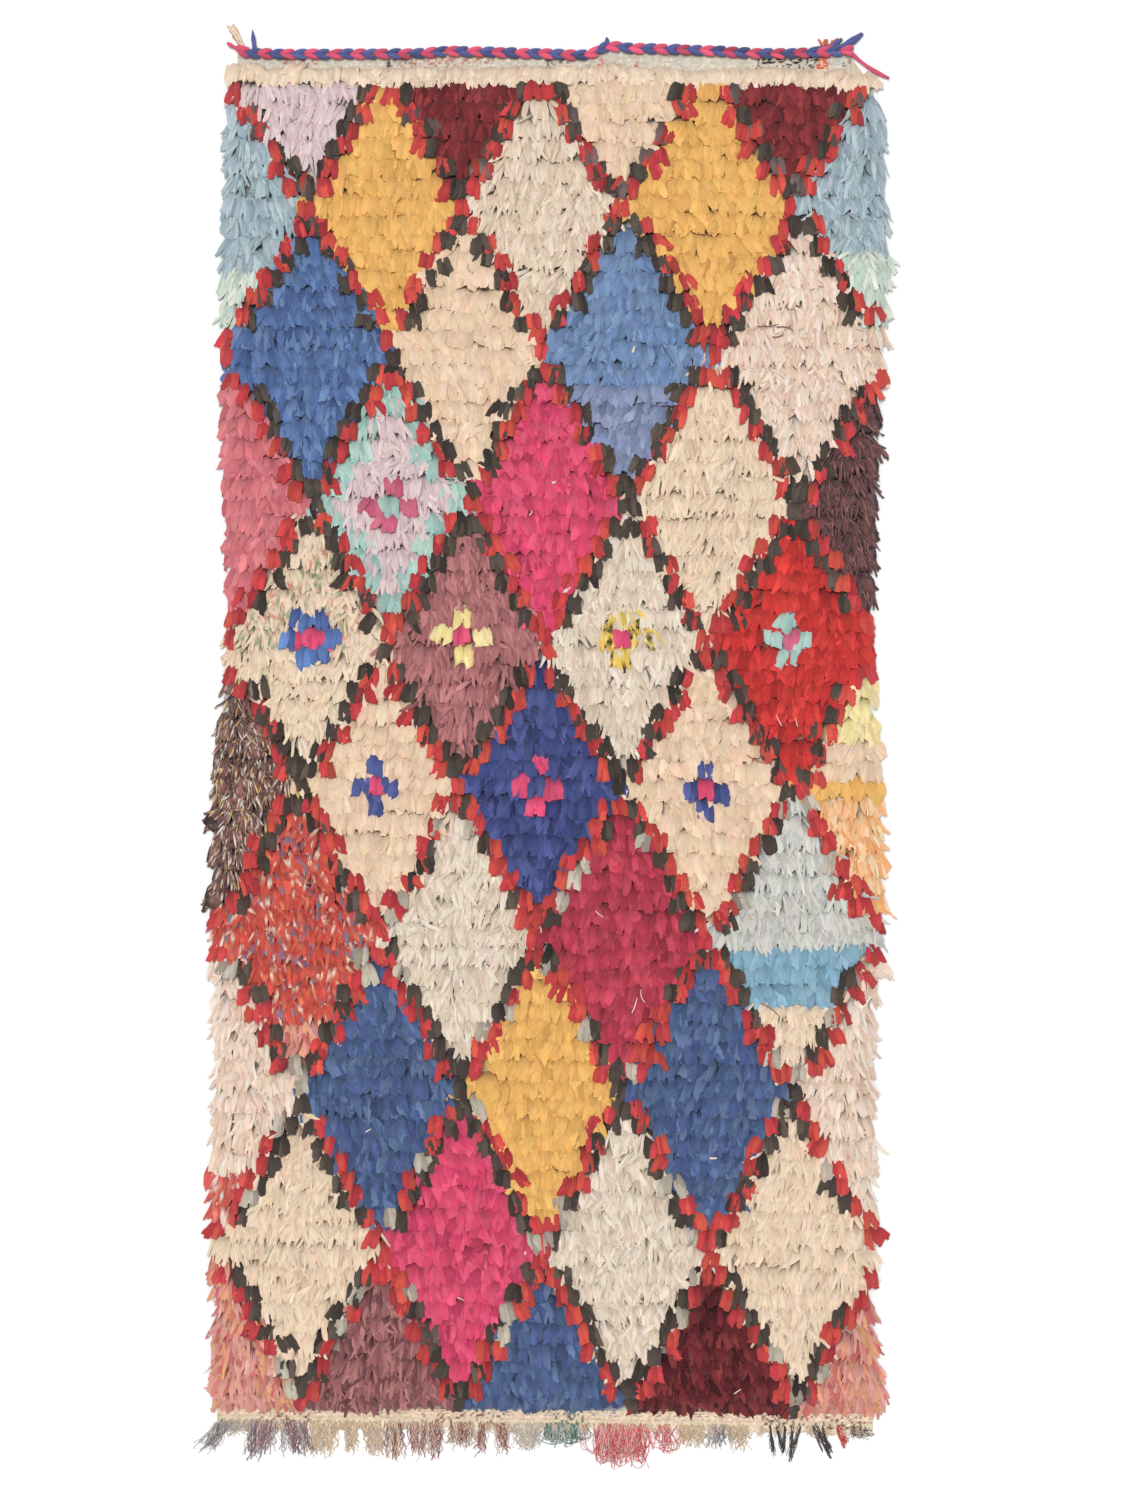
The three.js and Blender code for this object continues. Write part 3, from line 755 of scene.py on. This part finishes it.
def dyed(colours, count):
    """A colour for each strip, drawn from a rag's colours and varied as worn rags are."""
    drawn = linear(np.array(colours))[rng.integers(0, len(colours), count)]
    vary = DYE_VARIES + DARK_DYE_VARIES * darkness(drawn) ** 2
    drawn = drawn * np.clip(rng.normal(1, vary), *DYE_LIMITS) * rng.normal(1, HUE_VARIES, (count, 3))
    return np.clip(drawn, *LIGHT_LIMITS)


def printed(colours, shape, share, plain):
    """Colours for many strips of a cloth. Where it has a print, plain strips are left without it."""
    count, stations = shape[:2]
    ground = np.repeat(dyed(colours[:1] if share else colours, count)[:, None], stations, axis=1)
    print_colour = dyed(colours, count * stations).reshape(count, stations, 3)
    marked = (rng.random((count, stations)) < share) & ~plain[:, None]
    colour = np.where(marked[..., None], print_colour, ground)
    return np.broadcast_to(colour[:, :, None], shape)


def inside_edges(yaw, roots, length, width):
    """Headings turned outwards near the side edges, to end close to them, or past them in a long lock."""
    x, y = roots[:, 0], roots[:, 1] - SHOWN_BELOW
    left, right = side_edges(y)
    room = []
    for outwards, inside, locks in ((-1, x - left, LEFT_LOCKS), (1, right - x, RIGHT_LOCKS)):
        yaw = yaw + outwards * rng.uniform(0, OUTWARD_TURN, len(x)) * smooth(1 - inside / EDGE_REACH)
        past = rng.uniform(0, RAGGED, len(x))
        for height, reach in locks:
            past = np.where(np.abs(y - height) < LOCK_SPAN, reach, past)
        share = (inside + past - WIDTH_INSIDE * width) / length
        room.append(np.degrees(np.arcsin(np.clip(share, *TURN_LIMITS))))
    return np.clip(yaw, -room[0], room[1])


def slumped(points):
    """Points of the strips lowered near the sides and the bottom end, where nothing props the pile up."""
    x, y, z = np.moveaxis(points, -1, 0)
    left, right = side_edges(y)
    inside = np.minimum(np.minimum(x - left, right - x), y - SLUMP_BOTTOM)
    fall = SLUMP_SHARE * smooth((SLUMP_REACH - inside) / SLUMP_SPAN)
    return np.stack([x, y, GROUND_TOP + (z - GROUND_TOP) * (1 - fall)], axis=-1)


def laid_strips(style, knots):
    """Points and lay of all the strips of some knots, and which of them lie under the others."""
    each_knot = style.strips + 1
    places = np.repeat(np.array([k[:3] for k in knots], float), each_knot, axis=0)
    count = len(places)
    under = np.tile(np.arange(each_knot) == 0, len(knots))
    order = np.tile(np.concatenate([[0], np.linspace(-1, 1, style.strips)]), len(knots))
    x = places[:, 0] + order * style.spread + rng.normal(0, STRIP_JITTER, count)
    y = places[:, 1] + slant(places[:, 0], places[:, 1]) + rng.normal(0, STRIP_JITTER, count)
    for height, wave_length, shift in ROW_WAVES:
        y = y + height * np.sin(places[:, 0] / wave_length + places[:, 2] * shift)
    y = y + np.repeat(rng.normal(0, KNOT_JITTER, len(knots)), each_knot)
    knot_yaw = np.repeat(rng.normal(0, style.lean, len(knots)), each_knot)
    yaw = knot_yaw + rng.normal(0, style.yaw, count) + order * style.fan
    yaw = yaw + SWAY * np.sin(places[:, 0] / SWAY_LENGTHS[0] + places[:, 1] / SWAY_LENGTHS[1])
    length = between(style.length, count)
    last = places[:, 2] == ROWS - 1
    length[last] = between(LAST_ROW_LENGTH, last.sum())
    first = places[:, 2] == 0
    y[first] -= np.interp(x[first], FIRST_ROW_TURN, FIRST_ROW_DROPS)
    length[first] *= FIRST_ROW_SHARE
    roots = np.stack([x, y, np.full(count, GROUND_TOP - KNOT_DEPTH)], axis=1)
    width = np.where(under, style.under, between(style.width, count))
    length = np.where(under, UNDER_LENGTH, 1) * length
    knot_lift = np.repeat(between(style.lift, len(knots)), each_knot)
    lift = KNOT_LIFT_SHARE * knot_lift + (1 - KNOT_LIFT_SHARE) * between(style.lift, count)
    lift = np.where(under, UNDER_LIFT, 1) * lift
    lift = lift + LAYER_STEP * (np.tile(np.arange(each_knot), len(knots)) % 2)
    yaw = inside_edges(np.where(under, knot_yaw, yaw), roots, length, width)
    points, lay = hanging_strips(style, roots, yaw, length, width, lift)
    return slumped(points), lay, under


def rag_piece(rag, knots):
    """All the strips of one rag, in one piece."""
    style_name, colours, *print_share = RAGS[rag]
    style = STYLES[style_name]
    points, lay, under = laid_strips(style, knots)
    colour = printed(colours, points.shape, print_share[0] if print_share else 0, under)
    # Painted shade: each strip is darker towards its knot, where the strips above shade it, and more so in
    # dark cloth
    along = ramp(station_places(style.stations), PAINTED_SHADE_ENDS)[None, :, None, None]
    colour = colour * (1 - (PAINTED_KNOT_SHADE + DARK_PAINTED_KNOT_SHADE * darkness(colour)) * (1 - along))
    piece = tube_mesh("rags_" + rag, points, colour, lay, style_name != "yarn")
    piece.data.materials.append(cloth_material("rag_" + rag, style_name))
    return piece


def add_node(material, kind, values):
    """A new shader node of a material, with its inputs set."""
    node = material.node_tree.nodes.new("ShaderNode" + kind)
    for name, value in values.items():
        node.inputs[name].default_value = value
    return node


def cloth_material(name, surface):
    """Cloth dyed by its strips' own colours, with streaks along them that are worn dye and painted shade in
    the creases they press into the bump, and threads across them.
    """
    roughness, thread, crease = SURFACES[surface]
    material = bpy.data.materials.new(name)
    material.use_nodes = True
    shader = material.node_tree.nodes["Principled BSDF"]
    shader.inputs["Sheen Weight"].default_value = SHEEN
    shader.inputs["Sheen Roughness"].default_value = SHEEN_ROUGHNESS
    shader.inputs["Specular IOR Level"].default_value = SPECULAR
    dye = add_node(material, "Attribute", {})
    dye.attribute_name = "Rag"
    lay = add_node(material, "Attribute", {})
    lay.attribute_name = "Lay"
    stretch = add_node(material, "Mapping", {"Scale": STREAK_SCALE})
    streak = add_node(material, "TexNoise", {"Scale": 1.0, "Detail": NOISE_DETAIL})
    grain = add_node(material, "TexNoise", {"Scale": 1.0 / thread, "Detail": NOISE_DETAIL})
    # Worn dye and painted crease shade: low streaks, which sink the bump, darken the dye
    streak_wear_and_shade = add_node(material, "MapRange", {
        "From Min": STREAK_RANGE[0],
        "From Max": STREAK_RANGE[1],
        "To Min": STREAK_SHADES[0],
        "To Max": STREAK_SHADES[1],
    })
    dye_with_wear_and_shade = add_node(material, "Mix", {})
    dye_with_wear_and_shade.data_type = "RGBA"
    dye_with_wear_and_shade.blend_type = "MULTIPLY"
    dye_with_wear_and_shade.inputs["Factor"].default_value = 1.0
    matt = add_node(material, "MapRange", {
        "To Min": roughness - ROUGHNESS_VARIES,
        "To Max": min(1.0, roughness + ROUGHNESS_VARIES),
    })
    relief = add_node(material, "Math", {1: GRAIN_HEIGHT})
    relief.operation = "MULTIPLY_ADD"
    bump = add_node(material, "Bump", {"Strength": crease, "Distance": CREASE_DEPTH * MM})
    for source, output, target, entry in (
        (lay, "Vector", stretch, "Vector"),
        (stretch, "Vector", streak, "Vector"),
        (lay, "Vector", grain, "Vector"),
        (streak, "Fac", streak_wear_and_shade, "Value"),
        (dye, "Color", dye_with_wear_and_shade, "A"),
        (streak_wear_and_shade, "Result", dye_with_wear_and_shade, "B"),
        (dye_with_wear_and_shade, "Result", shader, "Base Color"),
        (grain, "Fac", matt, "Value"),
        (matt, "Result", shader, "Roughness"),
        (grain, "Fac", relief, 0),
        (streak, "Fac", relief, 2),
        (relief, "Value", bump, "Height"),
        (bump, "Normal", shader, "Normal"),
    ):
        material.node_tree.links.new(source.outputs[output], target.inputs[entry])
    return material


def woven_ground():
    """The woven ground under the pile, with the backs of the knots showing through in their colours."""
    heights = np.linspace(TOP_END - GROUND_INSET, PILE_BOTTOM, ROWS + 1)
    loops = []
    colours = []
    for i, y in enumerate(heights):
        left, right = side_edges(y)
        x = np.linspace(left + EDGE_INSET, right - EDGE_INSET, GROUND_COLUMNS)
        rib = GROUND_RIB * ((i + np.arange(GROUND_COLUMNS)) % 2)
        top = np.stack([x, y + slant(x, y), GROUND_FACE + rib], axis=1)
        back = np.stack([x, y + slant(x, y), GROUND_BACK + rib], axis=1)[::-1]
        loops.append(np.concatenate([top, back]))
        cells = cells_at(x, y)
        dye = np.array([linear(RAGS[CELLS[c][1].rag][1][0]) for c in cells])
        shown = KNOT_BACK_SHARE if y < PILE_TOP - ROW_PITCH else 0
        dye = shown * dye + (1 - shown) * linear(WARP_COLOUR)
        colours.append(np.concatenate([dye, dye[::-1]]))
    points = np.array(loops)[None]
    piece = tube_mesh("woven_ground", points, np.array(colours)[None], points, True)
    piece.data.materials.append(cloth_material("woven_ground", "shred"))
    return piece


def path_tubes(paths, half_width, half_height, around):
    """Closed tubes along paths of (tube, station, 3), with their half sizes at each station."""
    along = np.gradient(paths[..., :2], axis=1)
    along = along / np.maximum(np.linalg.norm(along, axis=-1, keepdims=True), 1e-6)
    angle = FIRST_CORNER - 2 * np.pi * np.arange(around) / around
    aside = np.cos(angle) * half_width[..., None]
    up = np.sin(angle) * half_height[..., None]
    x = paths[..., 0, None] - along[..., 1, None] * aside
    y = paths[..., 1, None] + along[..., 0, None] * aside
    z = np.maximum(paths[..., 2, None] + up, LOWEST_YARN)
    steps = np.linalg.norm(np.diff(paths, axis=1, prepend=paths[:, :1]), axis=-1).cumsum(axis=1)
    tube = rng.uniform(0, NOISE_SCATTER, len(paths))[:, None, None]
    lay = np.stack(np.broadcast_arrays(aside, steps[..., None], tube), axis=-1)
    return np.stack([x, y, z], axis=-1), lay


def tube_piece(name, surface, paths, half_width, half_height, around, colours):
    """A piece of tubes along paths, each with its own colour."""
    points, lay = path_tubes(paths, half_width, half_height, around)
    shades = np.broadcast_to(colours[:, None, None, :], points.shape)
    piece = tube_mesh(name, points, shades, lay, False)
    piece.data.materials.append(cloth_material(name, surface))
    return piece


def woven_band(name, top, bottom, sides, colours, marks):
    """A flat weave with its wefts along X in ribs that go over and under the warps."""
    ribs = round((top - bottom) / RIB_PITCH)
    x = np.arange(*sides, WARP_PITCH / 2)
    across = np.linspace(0, 1, STEPS_A_RIB * ribs + 1)
    y = bottom + (top - bottom) * across
    rib = np.minimum((across * ribs).astype(int), ribs - 1)
    round_rib = np.abs(np.sin(np.pi * across * ribs))
    over = np.sin(np.pi * (x[:, None] / WARP_PITCH + rib[None, :]))
    z = WEAVE_HEIGHT + RIB_HEIGHT * round_rib[None, :] + WARP_HEIGHT * over
    shape = (len(x), len(across))
    upper = np.stack([np.broadcast_to(x[:, None], shape), y + slant(x[:, None], y), z], axis=-1)
    upper[..., :2] += rng.normal(0, WEAVE_JITTER, shape + (2,))
    wave = sum(height * np.sin(x / length) for height, length in LOWER_EDGE_WAVES)
    upper[..., 1] += (1 - across) * wave[:, None]
    under = upper[:, [-1, 0]] * (1, 1, 0) + (0, 0, WEAVE_BACK)
    points = np.concatenate([upper, under], axis=1)[None]
    weft = np.repeat(dyed(colours, ribs)[None, :], len(x), axis=0)
    weft = weft * rng.normal(1, WEFT_VARIES, (len(x), ribs, 1))
    for start, end, share, (first, last), mark in marks:
        on_ribs = (np.arange(ribs) >= first) & (np.arange(ribs) < last)
        places = (x[:, None] > start) & (x[:, None] < end) & on_ribs
        weft = np.where((places & (rng.random(places.shape) < share))[..., None], linear(mark), weft)
    shade = weft[:, ribs - 1 - rib]
    shade = np.concatenate([shade, shade[:, [-1, 0]]], axis=1)[None]
    piece = tube_mesh(name, points, shade, points, True)
    piece.data.materials.append(cloth_material(name, "yarn"))
    return piece


def fringe():
    """Yarns of the warp that hang in locks below the bottom band, some in loops."""
    t = np.linspace(0, 1, YARN_STATIONS)
    paths = []
    colours = []
    for start, end, strands, length, lean, draw, mix in FRINGE:
        count = strands * YARNS_PER_STRAND
        lock = np.repeat(np.arange(strands), YARNS_PER_STRAND)
        lock_root = start + (end - start) * (np.arange(strands) + 0.5) / strands
        lock_tip = lock_root + draw * ((start + end) / 2 - lock_root) + lean
        lock_tip = lock_tip + rng.normal(0, LOCK_JITTER, strands)
        lock_length = length * between(LOCK_LENGTHS, strands)
        loose = TIGHT_JITTER if mix in TIGHT_MIXES else 1
        root = lock_root[lock] + rng.normal(0, ROOT_JITTER * loose, count)
        tip = lock_tip[lock] + rng.normal(0, TIP_JITTER * loose, count)
        reach = lock_length[lock] * between(YARN_LENGTHS, count)
        looped = (rng.random(count) < LOOP_SHARE) & (mix in LOOPED_MIXES)
        turns = between(YARN_TURNS, count)[:, None] * t + rng.random(count)[:, None]
        wave = loose * between(YARN_WAVES, count)[:, None] * np.sin(2 * np.pi * turns) * ramp(t, WAVE_GROWS)
        bulge = np.where(looped, rng.uniform(-LOOP_BULGE, LOOP_BULGE, count), 0)
        ring = bulge[:, None] * np.sin(2 * np.pi * t)
        down = np.where(looped[:, None], np.sin(np.pi * t), t) * reach[:, None]
        span = np.where(looped, rng.uniform(-LOOP_SPAN, LOOP_SPAN, count), tip - root)
        x = root[:, None] + span[:, None] * t ** YARN_DRIFT + wave + ring
        start_y = PILE_BOTTOM - BAND_LENGTH + between(YARN_STARTS, count)
        y = start_y[:, None] + slant(x, PILE_BOTTOM) - down
        rise = FRINGE_RISE * (1 - ramp(t, RISE_ENDS))
        layer = rng.uniform(0, YARN_LAYERS, count)[:, None] * ramp(t, LAYERS_GROW)
        z = FRINGE_BASE + rise + layer + WAVE_UP * wave
        paths.append(np.stack([x, y, z], axis=-1))
        colours.append(dyed(YARN_MIXES[mix], count))
    paths = np.concatenate(paths)
    half = np.repeat(between(YARN_HALF, len(paths))[:, None], YARN_STATIONS, axis=1)
    return tube_piece("fringe", "yarn", paths, half, half, YARN_SIDES, np.concatenate(colours))


def curve_through(points, count):
    """Points along a smooth curve through the given ones."""
    points = np.array(points, float)
    padded = np.concatenate([2 * points[:1] - points[1:2], points, 2 * points[-1:] - points[-2:-1]])
    place = np.linspace(0, len(points) - 1, count)
    index = np.minimum(place.astype(int), len(points) - 2)
    t = (place - index)[:, None]
    a, b, c, d = (padded[index + k] for k in range(4))
    square = (2 * a - 5 * b + 4 * c - d) * t ** 2
    cube = (3 * b - a - 3 * c + d) * t ** 3
    return 0.5 * (2 * b + (c - a) * t + square + cube)


def edging():
    """The edging: two strands of rags twined into chevrons that point left, in turn pink and blue."""
    line = curve_through(EDGING_LINE, count=400)
    run = np.concatenate([[0], np.linalg.norm(np.diff(line, axis=0), axis=1).cumsum()])
    t = np.linspace(0, 1, CHEVRON_STATIONS)
    paths = []
    colours = []
    chevrons = int(run[-1] / EDGING_PITCH)
    for i in range(chevrons):
        for side in (-1, 1):
            start = (i - CHEVRON_LEAD) * run[-1] / chevrons + rng.normal(0, CHEVRON_JITTER)
            place = np.clip(start + CHEVRON_LENGTH * t, 0, run[-1])
            aside = CHEVRON_SPREAD[0] + CHEVRON_SPREAD[1] * smooth(t)
            x = np.interp(place, run, line[:, 0])
            y = np.interp(place, run, line[:, 1]) + side * aside
            z = EDGING_BASE + CHEVRON_HEIGHT + CHEVRON_ARCH * np.sin(np.pi * t ** 0.8)
            paths.append(np.stack([x, y, z], axis=-1))
            colours.append(EDGING_COLOURS[i % 2])
    paths = np.array(paths)
    swell = (CHEVRON_TAPER + (1 - CHEVRON_TAPER) * np.sin(np.pi * (0.06 + 0.88 * t)))[None]
    half = CHEVRON_HALF * swell * between(CHEVRON_SIZES, (len(paths), 1))
    shades = linear(np.array(colours)) * rng.normal(*CHEVRON_SHADES, (len(colours), 1))
    flat = CHEVRON_FLATNESS * half
    return tube_piece("twined_chevrons", "jersey", paths, half, flat, RAG_SIDES, shades)


def edging_tails():
    """Loose ends of the edging's rags, each a flat twisted strip."""
    t = np.linspace(0, 1, TAIL_STATIONS)
    paths = []
    half = []
    for (x0, y0), (x1, y1), width, tip, _ in TAILS:
        bow = TAIL_BOW * math.dist((x0, y0), (x1, y1)) * np.sin(np.pi * t)
        x = x0 + (x1 - x0) * t
        y = y0 + (y1 - y0) * t - bow
        paths.append(np.stack([x, y, EDGING_BASE + TAIL_HEIGHT - TAIL_DROP * t], axis=-1))
        twist = 1 - TAIL_TWIST + TAIL_TWIST * np.cos(TAIL_TURN * t)
        half.append(width * (1 - (1 - tip) * t ** 2) * twist)
    half = np.array(half)
    shades = linear(np.array([tail[4] for tail in TAILS]))
    flat = TAIL_FLATNESS * half
    return tube_piece("edging_tails", "jersey", np.array(paths), half, flat, RAG_SIDES, shades)


def yarn_tuft(count, start, end, spread, colours):
    """Paths and colours of a loose tuft of yarns from a point to a point."""
    t = np.linspace(0, 1, TUFT_STATIONS)
    tips = np.array(end) + rng.normal(0, spread, (count, 2)) * TUFT_SPREAD
    roots = np.array(start) + rng.normal(0, spread * TUFT_ROOT_SPREAD, (count, 2))
    flat = roots[:, None] + (tips - roots)[:, None] * t[None, :, None]
    flat = flat + rng.normal(0, TUFT_CRUMPLE, flat.shape) * t[None, :, None]
    height = TUFT_HEIGHT + rng.uniform(0, TUFT_ARCH, (count, 1)) * np.sin(np.pi * t)
    return np.concatenate([flat, height[..., None]], axis=-1), dyed(colours, count)


def end_tufts():
    """The tufts of yarn at the top end."""
    tufts = [yarn_tuft(*tuft) for tuft in TUFTS]
    paths = np.concatenate([tuft[0] for tuft in tufts])
    colours = np.concatenate([tuft[1] for tuft in tufts])
    half = np.full(paths.shape[:2], TUFT_HALF)
    return tube_piece("end_tufts", "yarn", paths, half, half, YARN_SIDES, colours)


def loose_threads():
    """Threads that have come loose and lie curled on the pile."""
    t = np.linspace(0, 1, THREAD_STATIONS)
    paths = []
    half = []
    for (x, y), length, heading, width, _ in LOOSE_THREADS:
        turn = math.radians(heading) + rng.uniform(-THREAD_CURL, THREAD_CURL) * (t - 0.5)
        steps = length / len(t) * np.stack([np.cos(turn), np.sin(turn)], axis=1)
        flat = np.array([x, y]) + steps.cumsum(axis=0) - steps.sum(axis=0) / 2
        height = THREAD_HEIGHT + rng.normal(0, THREAD_JITTER, len(t))
        paths.append(np.concatenate([flat, height[:, None]], axis=1))
        half.append(width * (1 - THREAD_TAPER * t ** 4))
    half = np.array(half)
    shades = linear(np.array([thread[4] for thread in LOOSE_THREADS]))
    flat = THREAD_FLATNESS * half
    return tube_piece("loose_threads", "yarn", np.array(paths), half, flat, THREAD_SIDES, shades)


def studio():
    """Pale floor, soft light from above and the camera straight over the rug."""
    scene = bpy.context.scene
    bpy.ops.mesh.primitive_plane_add(size=FLOOR_SIZE)
    floor = bpy.context.object
    floor.name = "floor"
    paint = bpy.data.materials.new("floor_paint")
    paint.use_nodes = True
    shader = paint.node_tree.nodes["Principled BSDF"]
    shader.inputs["Base Color"].default_value = (FLOOR_GREY, FLOOR_GREY, FLOOR_GREY, 1)
    shader.inputs["Roughness"].default_value = 1.0
    floor.data.materials.append(paint)
    world = bpy.data.worlds.new("studio")
    scene.world = world
    world.use_nodes = True
    sky = world.node_tree.nodes["Background"]
    sky.inputs["Color"].default_value = (1, 1, 1, 1)
    sky.inputs["Strength"].default_value = SKY_STRENGTH
    sun = bpy.data.lights.new("window", "SUN")
    sun.energy = SUN_STRENGTH
    sun.angle = SUN_SOFTNESS
    lamp = bpy.data.objects.new("window", sun)
    lamp.rotation_euler = SUN_TILT
    scene.collection.objects.link(lamp)
    camera = bpy.data.cameras.new("camera")
    camera.lens = LENS
    camera.sensor_width = SENSOR_WIDTH
    holder = bpy.data.objects.new("camera", camera)
    distance = PHOTO_HEIGHT * PIXEL * MM * camera.lens / camera.sensor_width
    holder.location = (RUG_LEFT_OF_MIDDLE * PIXEL * MM, 0, distance)
    scene.collection.objects.link(holder)
    scene.camera = holder
    scene.view_settings.view_transform = "Standard"


def rides(pieces, node):
    """Fasten pieces to the rug's body, in place of a node of the solids."""
    for piece in pieces:
        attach(piece, "root")
        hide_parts(node)


studio()
ground = woven_ground()
knots = [knot for row in range(ROWS) for knot in knots_of_row(row)]
pile = [rag_piece(rag, [k for k in knots if k[3] == rag]) for rag in RAGS]
strip = woven_band("woven_top_strip", STRIP_TOP, STRIP_BOTTOM, STRIP_SIDES, STRIP_COLOURS, STRIP_MARKS)
band_bottom = PILE_BOTTOM - BAND_LENGTH
band_top = PILE_BOTTOM + BAND_OVERLAP
band = woven_band("woven_band", band_top, band_bottom, BAND_SIDES, BAND_COLOURS, BAND_MARKS)
pile.append(loose_threads())
rides([ground, strip] + pile, "rag_pile")
rides([band, fringe()], "end_band_fringe")
rides([edging(), edging_tails(), end_tufts()], "twined_edging")
